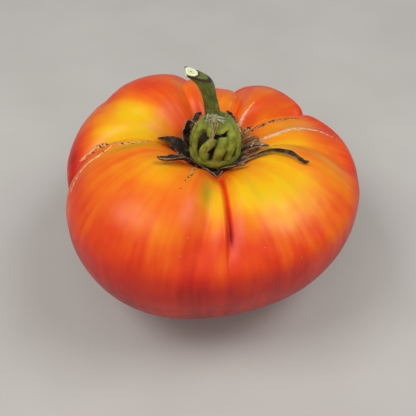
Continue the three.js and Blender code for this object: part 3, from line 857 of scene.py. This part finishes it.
# The long ones spring from the front of the neck, mostly sideways and down over the knob.
LONG_HAIRS = 56
LONG_LENGTH = (1.6, 4.2)
LONG_HALF = (0.04, 0.08)
NECK_HEIGHT = 73.6
in_front = (stem[:, 1] < -2.0) & (np.abs(stem[:, 0] - 0.8) < 2.2)
neck = np.flatnonzero((np.abs(stem[:, 2] - NECK_HEIGHT) < 1.3) & in_front)
chosen = dice.choice(neck, LONG_HAIRS, replace=False)
fan = dice.uniform(-100, 100, LONG_HAIRS) + 270
lean = np.stack([np.cos(np.radians(fan)), 0 * fan - 0.25, np.sin(np.radians(fan)) * 0.8], -1)
lean = unit(lean + 0.5 * normals[chosen])
length = dice.uniform(*LONG_LENGTH, LONG_HAIRS)
roots = stem[chosen]
tips = roots + lean * length[:, None]
neck_hairs = needles("neck_hairs", roots, tips, dice.uniform(*LONG_HALF, LONG_HAIRS))
print("stem_hairs:", HAIRS, "neck_hairs:", LONG_HAIRS)

# %% [markdown]
# ## Dried strand and petal flakes
#
# A few withered threads of the flower still hang down the front of the knob, and scraps of its
# petals stick to the calyx. The threads are thin tubes along curves. Each flake is a small grid,
# crumpled and given thickness, and all of them are joined into one piece.

# %% Hang the strand
STRAND = [
    [
        (0.6, -3.3, 74.2), (1.2, -4.6, 72.0), (0.6, -6.4, 70.2), (0.1, -8.0, 68.0), (-0.9, -8.9, 65.8),
        (-1.3, -9.3, 64.2),
    ],
    [(1.4, -3.4, 73.8), (1.9, -5.0, 71.8), (1.1, -6.9, 69.8), (0.0, -8.2, 67.4), (-1.0, -9.0, 65.4)],
    [
        (0.1, -3.2, 73.6), (-0.2, -4.6, 72.0), (0.3, -6.6, 70.0), (-0.6, -8.3, 67.4), (-1.1, -9.2, 65.0),
        (-1.9, -9.8, 62.6),
    ],
]
THREAD_HALF = (0.17, 0.08)  # at its root and at its tip
THREAD_WAVER = 0.14


def join_as(name, pieces):
    only(pieces[0])
    for piece in pieces:
        piece.select_set(True)
    bpy.ops.object.join()
    joined = take_new(name)
    smooth_shading(joined)
    return joined


threads = []
for number, stations in enumerate(STRAND):
    line = rounded_line(stations, 24)
    waver = [waves(line, 2.5, 60 + number), waves(line, 2.5, 70 + number), 0 * line[:, 0]]
    line = line + THREAD_WAVER * np.stack(waver, -1)
    threads.append(tube(f"thread_{number}", line, np.linspace(*THREAD_HALF, 24), 1))
dried_strand = join_as("dried_strand", threads)
print("dried_strand:", len(dried_strand.data.polygons), "faces")

# %% Crumple the flakes
# Azimuth, latitude, height over the skin, length, width and turn in degrees of each flake.
FLAKES = [
    (128, 80.5, 4.2, 1.5, 0.7, 66), (50, 78.0, 0.6, 1.6, 0.6, 198), (44, 78.5, 0.8, 1.3, 0.5, 213),
    (352, 78.0, 1.0, 1.7, 0.6, 279), (346, 75.0, 0.7, 1.5, 0.5, 264),
]
FLAKE_THICK = 0.12
flakes = []
for number, (at, height, lift, long, wide, spin) in enumerate(FLAKES):
    bpy.ops.object.select_all(action="DESELECT")
    flake, over, up = grid(f"flake_{number}", 5, 7)
    upward = skin_normal(np.array(at), np.array(height), False)
    middle = skin_point(np.array(at), np.array(height), False) + upward * (CALYX_CLEAR + lift)
    spin = math.radians(spin)
    lengthways = unit(np.cross(upward, [math.cos(spin), math.sin(spin), 0.3]))
    sideways = np.cross(upward, lengthways)
    place = middle + (over - 0.5)[:, None] * sideways * wide + (up - 0.5)[:, None] * lengthways * long
    crumple = 0.25 * np.sin(6 * up + number) + 0.2 * waves(place, 1.2, 80 + number)
    move_points(flake, place + upward * crumple[:, None])
    apply_modifier(flake, "SOLIDIFY", thickness=FLAKE_THICK * MM, offset=0.0)
    flakes.append(flake)
petal_flakes = join_as("petal_flakes", flakes)
trimmings = [stem_hairs, neck_hairs, dried_strand, petal_flakes]
print("petal_flakes:", len(FLAKES))

# %% [markdown]
# ## Finishes
#
# Each finish is built from nodes. One small function turns a screen colour into the linear light
# that the nodes want, one feeds a node's inputs, and one adds a node and returns its output.

# %% Helpers for finishes
BLEND = {"out": 2, "data_type": "RGBA"}  # what makes a Mix node mix colours


def colour(text):
    channels = [int(text[i : i + 2], 16) / 255 for i in (1, 3, 5)]
    linear = [c / 12.92 if c <= 0.04045 else ((c + 0.055) / 1.055) ** 2.4 for c in channels]
    return (*linear, 1.0)


def feed(tree, node, feeds):
    """Gives each named input a value, or a link to another node's output."""
    for key, value in feeds.items():
        if isinstance(value, bpy.types.NodeSocket):
            tree.links.new(value, node.inputs[key])
        else:
            node.inputs[key].default_value = value


def add_node(tree, kind, feeds=None, steps=(), out=0, **settings):
    """Adds a node with its settings, its feeds and, on a ramp, the steps of colour."""
    node = tree.nodes.new("ShaderNode" + kind)
    for key, value in settings.items():
        setattr(node, key, value)
    feed(tree, node, feeds or {})
    for number, (place, text) in enumerate(steps):
        stops = node.color_ramp.elements
        stop = stops[number] if number < len(stops) else stops.new(1.0)
        stop.position = place
        stop.color = colour(text)
    return node.outputs[out]


def new_finish(name):
    """A new material with its tree, its shader, and the place on the piece in mm."""
    finish = bpy.data.materials.new(name)
    finish.use_nodes = True
    tree = finish.node_tree
    place = add_node(tree, "TexCoord", out="Object")
    place = add_node(tree, "VectorMath", {0: place, "Scale": 1 / MM}, operation="SCALE")
    return finish, tree, tree.nodes["Principled BSDF"], place


# %% [markdown]
# ### Tomato skin
#
# A ripe tomato's skin is a thin, clear, waxy film over coloured flesh. It scatters light a little
# below the surface and has a soft, broad shine. The ripeness picks the colour, from yellow through
# orange to deep red, and three noises stir it: streaks along the meridians that are some 9 mm wide
# on the flanks, finer ones of 2 mm, and blotches about 12 mm across. A little green is laid over
# that. The same number carries painted shade too, a deeper red down the front fold. The seams lie dry
# and pale on top, with dark pits in them, and the two lines in the right crease are painted shade
# drawn the same way.

# %% The skin's colours and patterns
RIPE_COLOURS = [
    (0.00, "#e8be0c"), (0.12, "#efb60a"), (0.28, "#f0960c"), (0.44, "#ec6a10"),
    (0.58, "#e34516"), (0.74, "#cd2c18"), (0.90, "#aa1a18"), (1.00, "#861316"),
]
# Each seam's dry colour, the colour of its pits, and how much of it they take. The two right lines
# are painted shade, not dry seams: their dark tones stand for the shadow in the right crease.
SEAM_AND_SHADE_COLOURS = {
    "groove_far": ("#dca66e", "#5a2c16", 0.32),
    "groove_near": ("#efc184", "#6e3c1c", 0.25),
    "zipper": ("#c08450", "#3a2010", 0.42),
    "arc": ("#e6b88e", "#b07a4c", 0.16),
    "crack": ("#e8ab88", "#d98a60", 0.10),
    "back": ("#e8a070", "#d98450", 0.10),
    "right": ("#a3481a", "#4a2210", 0.35),
    "right_low_shade": ("#b4541c", "#7a3212", 0.35),
    "mark": ("#cf9440", "#4a230e", 0.42),
}
# Grains of each pattern in a millimetre: grit and pits of about 1 mm, pores of 0.4 mm, patches of
# shine of 3 mm, and specks some 4.5 mm apart.
GRIT, PITS, PORES, SHINE, SPECKS = 0.9, 1.1, 2.6, 0.30, 0.22
ALONG_STREAKS = 0.14  # how much slower a streak changes along its way than across it
FRAY = 2.2  # how far the grit frays a seam's edge, in half widths
PIT_LEVEL, PIT_SPAN, PIT_EDGE = 0.62, 0.28, 0.06  # where the noise turns into a pit


# %% Tomato skin
def skin_finish():
    finish, tree, shader, place = new_finish("waxy tomato skin")
    names = ("ripeness_and_shade", "low_down", "green", "cork_patch", *SEAM_AND_SHADE_COLOURS)
    fields = {name: add_node(tree, "Attribute", out="Fac", attribute_name=name) for name in names}
    flow = add_node(tree, "Attribute", out="Vector", attribute_name="flow")
    down = add_node(tree, "Mapping", {"Vector": flow, "Scale": (1, 1, ALONG_STREAKS)})

    # Where each noise is read, its grains there, how far it stirs, and where it counts.
    ripe_and_shade = fields["ripeness_and_shade"]
    for where, grains, strength, share in (
        (down, 6.0, 0.38, 1.0),
        (down, 24.0, 0.15, fields["low_down"]),
        (place, 0.08, 0.28, 1.0),
    ):
        feeds = {"Vector": where, "Scale": grains, "Detail": 2.5, "Roughness": 0.5}
        stir = add_node(tree, "TexNoise", feeds)
        stir = add_node(tree, "Math", {0: stir, 1: 0.5}, operation="SUBTRACT")
        stir = add_node(tree, "Math", {0: stir, 1: share}, operation="MULTIPLY")
        ripe_and_shade = add_node(tree, "Math", {0: stir, 1: strength, 2: ripe_and_shade}, operation="MULTIPLY_ADD")
    base = add_node(tree, "ValToRGB", {"Fac": ripe_and_shade}, RIPE_COLOURS)
    base = add_node(tree, "Mix", {0: fields["green"], 6: base, 7: colour("#9a8a12")}, **BLEND)

    # The grit frays the seams' edges, and the pits sit in them. The two lines in the right crease are
    # painted shade, drawn the same way.
    grit = add_node(tree, "TexNoise", {"Vector": place, "Scale": GRIT, "Detail": 4.0})
    pits = add_node(tree, "TexNoise", {"Vector": place, "Scale": PITS, "Detail": 2.0})
    cork = 0.0
    for name, (tone, pit_tone, share) in SEAM_AND_SHADE_COLOURS.items():
        edge = add_node(tree, "Math", {0: grit, 1: FRAY, 2: fields[name]}, operation="MULTIPLY_ADD")
        seam = add_node(tree, "MapRange", {"Value": edge, "From Min": 2.15, "From Max": 1.75})
        level = PIT_LEVEL - PIT_SPAN * share
        feeds = {"Value": pits, "From Min": level, "From Max": level + PIT_EDGE}
        pitted = add_node(tree, "MapRange", feeds)
        dry = add_node(tree, "Mix", {0: pitted, 6: colour(tone), 7: colour(pit_tone)}, **BLEND)
        base = add_node(tree, "Mix", {0: seam, 6: base, 7: dry}, **BLEND)
        cork = add_node(tree, "Math", {0: cork, 1: seam}, operation="MAXIMUM")

    # Where the bowl's wall has gone corky, its crust is creped along the meridians.
    feeds = {"Vector": flow, "Scale": 22.0, "Detail": 4.0, "Roughness": 0.65}
    crepe = add_node(tree, "TexNoise", feeds)
    feeds = {0: crepe, 1: 1.2, 2: fields["cork_patch"]}
    patch = add_node(tree, "Math", feeds, operation="MULTIPLY_ADD")
    feeds = {"Value": patch, "From Min": 0.95, "From Max": 1.25, "To Max": 0.95}
    patch = add_node(tree, "MapRange", feeds)
    steps = [(0.36, "#2e1c10"), (0.47, "#6a4426"), (0.55, "#9a6a3e"), (0.66, "#d2a878")]
    crust = add_node(tree, "ValToRGB", {"Fac": crepe}, steps)
    base = add_node(tree, "Mix", {0: patch, 6: base, 7: crust}, **BLEND)
    cork = add_node(tree, "Math", {0: cork, 1: patch}, operation="MAXIMUM")

    # Pale specks 0.2 to 0.4 mm across.
    specks = add_node(tree, "TexVoronoi", {"Vector": place, "Scale": SPECKS})
    feeds = {"Value": specks, "From Min": 0.045, "From Max": 0.02, "To Max": 0.5}
    specks = add_node(tree, "MapRange", feeds)
    base = add_node(tree, "Mix", {0: specks, 6: base, 7: colour("#f4c79a")}, **BLEND)

    # The wax shines unevenly, and the cork hardly at all.
    shine = add_node(tree, "TexNoise", {"Vector": place, "Scale": SHINE, "Detail": 3.0})
    feeds = {"Value": shine, "From Min": 0.3, "From Max": 0.7, "To Min": 0.32, "To Max": 0.42}
    shine = add_node(tree, "MapRange", feeds)
    rough = add_node(tree, "Mix", {0: cork, 2: shine, 3: 0.85}, data_type="FLOAT")
    pores = add_node(tree, "TexNoise", {"Vector": place, "Scale": PORES, "Detail": 2.0})
    crumbs = add_node(tree, "Math", {0: grit, 1: cork}, operation="MULTIPLY")
    crumbs = add_node(tree, "Math", {0: crumbs, 1: 24.0, 2: pores}, operation="MULTIPLY_ADD")
    bump = add_node(tree, "Bump", {"Height": crumbs, "Distance": 0.02 * MM, "Strength": 0.6})
    feed(tree, shader, {
        "Base Color": base,
        "Roughness": rough,
        "Normal": bump,
        "IOR": 1.45,
        "Specular IOR Level": 0.3,
        "Subsurface Weight": 0.06,
        "Subsurface Radius": (1.0, 0.35, 0.15),
        "Subsurface Scale": 2.0 * MM,
    })
    return finish


# %% [markdown]
# ### Green stem and cut pith
#
# The stem is living green tissue: olive on the ribs and darker up the stalk, with painted shade,
# nearly black, in the gaps between the ribs. Blotches of 3 mm and specks of 0.6 mm keep it from
# looking painted. Where it was cut, the pale wet face shows rings of tissue, and its rim has dried
# brown.

# %% Green stem
def stem_finish():
    finish, tree, shader, place = new_finish("downy green stem")
    names = ("above_knob", "gap_shade", "cut_face", "from_pith", "rim")
    fields = {name: add_node(tree, "Attribute", out="Fac", attribute_name=name) for name in names}
    blotch = add_node(tree, "TexNoise", {"Vector": place, "Scale": 0.35, "Detail": 4.0})
    speck = add_node(tree, "TexNoise", {"Vector": place, "Scale": 1.6, "Detail": 3.0})
    steps = [(0.25, "#5f6b1a"), (0.5, "#828c26"), (0.75, "#a4ab3e")]
    ribs = add_node(tree, "ValToRGB", {"Fac": blotch}, steps)
    steps = [(0.25, "#3c4a16"), (0.5, "#56641f"), (0.75, "#748030")]
    upper = add_node(tree, "ValToRGB", {"Fac": blotch}, steps)
    base = add_node(tree, "Mix", {0: fields["above_knob"], 6: ribs, 7: upper}, **BLEND)

    # Painted shade, nearly black, deep in the gaps between the ribs, and the brown rim of the cut.
    painted_gap_shade = add_node(tree, "Math", {0: speck, 1: 0.35, 2: fields["gap_shade"]}, operation="MULTIPLY_ADD")
    feeds = {"Value": painted_gap_shade, "From Min": 0.42, "From Max": 0.9}
    painted_gap_shade = add_node(tree, "MapRange", feeds, interpolation_type="SMOOTHSTEP")
    base = add_node(tree, "Mix", {0: painted_gap_shade, 6: base, 7: colour("#1d180d")}, **BLEND)
    rim = add_node(tree, "Math", {0: speck, 1: 0.8, 2: fields["rim"]}, operation="MULTIPLY_ADD")
    rim = add_node(tree, "MapRange", {"Value": rim, "From Min": 0.8, "From Max": 1.1})
    base = add_node(tree, "Mix", {0: rim, 6: base, 7: colour("#3b2a17")}, **BLEND)

    # The rings on the cut face, from the pith outwards, made a little uneven by the specks.
    steps = [
        (0.05, "#7f8a3a"), (0.10, "#c9cf96"), (0.18, "#f1f3cc"), (0.27, "#b9c27c"), (0.32, "#eef0c8"),
        (0.53, "#e2e7b8"), (0.60, "#3f2d1b"), (0.70, "#4a3a20"), (0.80, "#5c6a26"),
    ]
    feeds = {0: speck, 1: 0.2, 2: fields["from_pith"]}
    ring = add_node(tree, "Math", feeds, operation="MULTIPLY_ADD")
    ring = add_node(tree, "Math", {0: ring, 1: 0.1}, operation="SUBTRACT")
    face = add_node(tree, "ValToRGB", {"Fac": ring}, steps)
    base = add_node(tree, "Mix", {0: fields["cut_face"], 6: base, 7: face}, **BLEND)
    relief = add_node(tree, "Math", {0: speck, 1: 0.8, 2: blotch}, operation="MULTIPLY_ADD")
    bump = add_node(tree, "Bump", {"Height": relief, "Distance": 0.1 * MM, "Strength": 0.4})
    feed(tree, shader, {
        "Base Color": base,
        "Roughness": 0.6,
        "Normal": bump,
        "Subsurface Weight": 0.05,
        "Subsurface Scale": 1.0 * MM,
    })
    return finish


# %% [markdown]
# ### Dry leaf, hair and petal
#
# The calyx is dead leaf: matt, dark brown and paler along the worn edges, with crinkles of half a
# millimetre. The rest is dry and thin too, and needs only two tones: the hairs are nearly white, the
# withered strand is straw brown, and the scraps of petal are tan.

# %% Dry leaf
def calyx_finish():
    finish, tree, shader, place = new_finish("dry calyx leaf")
    edge = add_node(tree, "Attribute", out="Fac", attribute_name="edge")
    blotch = add_node(tree, "TexNoise", {"Vector": place, "Scale": 0.5, "Detail": 4.0})
    steps = [(0.3, "#1a1310"), (0.48, "#2e231b"), (0.62, "#57402d"), (0.8, "#94775a")]
    base = add_node(tree, "ValToRGB", {"Fac": blotch}, steps)
    worn = add_node(tree, "Math", {0: blotch, 1: 0.9, 2: edge}, operation="MULTIPLY_ADD")
    worn = add_node(tree, "MapRange", {"Value": worn, "From Min": 1.30, "From Max": 1.52})
    base = add_node(tree, "Mix", {0: worn, 6: base, 7: colour("#a07e5e")}, **BLEND)
    crinkle = add_node(tree, "TexNoise", {"Vector": place, "Scale": 2.0, "Detail": 4.0})
    bump = add_node(tree, "Bump", {"Height": crinkle, "Distance": 0.3 * MM, "Strength": 0.8})
    feed(tree, shader, {"Base Color": base, "Roughness": 0.75, "Normal": bump})
    return finish


# %% Hair, strand and petal
def dry_finish(name, dark, pale):
    finish, tree, shader, place = new_finish(name)
    blotch = add_node(tree, "TexNoise", {"Vector": place, "Scale": 0.8, "Detail": 3.0})
    tone = add_node(tree, "ValToRGB", {"Fac": blotch}, [(0.3, dark), (0.7, pale)])
    feed(tree, shader, {"Base Color": tone, "Roughness": 0.6})
    return finish


def give(piece, finish):
    piece.data.materials.clear()
    piece.data.materials.append(finish)


give(fruit_skin, skin_finish())
give(stem_and_knob, stem_finish())
dry_hair = dry_finish("fine stem hair", "#cfcda4", "#f2efd8")
give(stem_hairs, dry_hair)
give(neck_hairs, dry_hair)
give(dried_strand, dry_finish("dried strand", "#8a6540", "#c9a57c"))
give(petal_flakes, dry_finish("dried petal", "#c9a27a", "#e8cfa8"))
calyx_leaf = calyx_finish()
for piece in [calyx_collar, *sepals]:
    give(piece, calyx_leaf)
print("finishes:", ", ".join(m.name for m in bpy.data.materials if m.users))

# %% [markdown]
# ## Ties to the solid model
#
# Nothing moves, so each piece rides on the one body, and the solids that the pieces stand for are
# hidden.

# %% Ride and replace
for piece in [fruit_skin, stem_and_knob, *trimmings, calyx_collar, *sepals]:
    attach(piece, "root")
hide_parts("fruit")
for piece in (stem_and_knob, stem_hairs, neck_hairs):
    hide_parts("stem")
for piece in [calyx_collar, *sepals, dried_strand, petal_flakes]:
    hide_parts("calyx")

# %% [markdown]
# ## Floor, light and camera
#
# The fruit stands on a plain pale floor. Two wide panels, one overhead and one in front, give even
# light as a dull sky does, and are kept out of the reflections. Two smaller panels, high on the left
# and on the right, lay the broad pale sheen on the front shoulders.

# %% Floor
FLOOR_SIDE = 4.0  # in metres


def floor_finish():
    """Matt grey-white paper, a little uneven over some 50 mm."""
    finish, tree, shader, place = new_finish("pale paper floor")
    grain = add_node(tree, "TexNoise", {"Vector": place, "Scale": 0.02})
    paper = add_node(tree, "ValToRGB", {"Fac": grain}, [(0.3, "#b9b6b0"), (0.7, "#c0bdb7")])
    feed(tree, shader, {"Base Color": paper, "Roughness": 0.9})
    return finish


bpy.ops.mesh.primitive_plane_add(size=FLOOR_SIDE)
floor = take_new("floor")
give(floor, floor_finish())
print("floor:", FLOOR_SIDE, "m on a side")


# %% Lights
LIT_HEIGHT = 0.05  # of the place that the panels face, in metres


def panel(name, side, height, distance, size, power):
    """A square soft light, facing the fruit from this azimuth and height in degrees."""
    turned, raised = math.radians(side), math.radians(height)
    level = math.cos(raised)
    way = Vector((math.cos(turned) * level, math.sin(turned) * level, math.sin(raised)))
    bpy.ops.object.light_add(type="AREA", location=way * distance + Vector((0, 0, LIT_HEIGHT)))
    lamp = bpy.context.object
    lamp.name = name
    lamp.data.size = size
    lamp.data.energy = power
    lamp.rotation_euler = (-way).to_track_quat("-Z", "Y").to_euler()
    return lamp


sky = bpy.data.worlds.new("soft room")
bpy.context.scene.world = sky
sky.use_nodes = True
sky_light = {"Color": colour("#f4f4f4"), "Strength": 0.25}
feed(sky.node_tree, sky.node_tree.nodes["Background"], sky_light)
for lamp in (
    panel("overhead panel", 205, 74, 1.0, 1.0, 1.15),
    panel("front panel", 268, 33, 1.0, 0.8, 2.6),
):
    lamp.visible_glossy = False
panel("left panel", 194, 57, 0.9, 0.42, 3.4)
panel("right panel", 358, 56, 0.9, 0.42, 3.3)
print("lights: four panels and the sky")

# %% Camera
# It looks down at the fruit from this height in degrees, and this far away in metres. The shift
# slides the picture, so that the fruit stands where it does in the photograph.
LENS = 56.96
DISTANCE = 0.260
ELEVATION = 44.55
TARGET = (0.0001, 0.0027, 0.036)
SHIFT = (-0.0100, -0.0503)
rise = math.radians(ELEVATION)
bpy.ops.object.camera_add(
    location=(TARGET[0], TARGET[1] - DISTANCE * math.cos(rise), TARGET[2] + DISTANCE * math.sin(rise)),
    rotation=(math.pi / 2 - rise, 0, 0),
)
camera = bpy.context.object
camera.data.lens = LENS
camera.data.sensor_width = 36.0
camera.data.shift_x, camera.data.shift_y = SHIFT
camera.data.clip_start = 0.01
bpy.context.scene.camera = camera
bpy.context.scene.view_settings.view_transform = "Standard"
print("camera:", LENS, "mm lens,", DISTANCE, "m away")
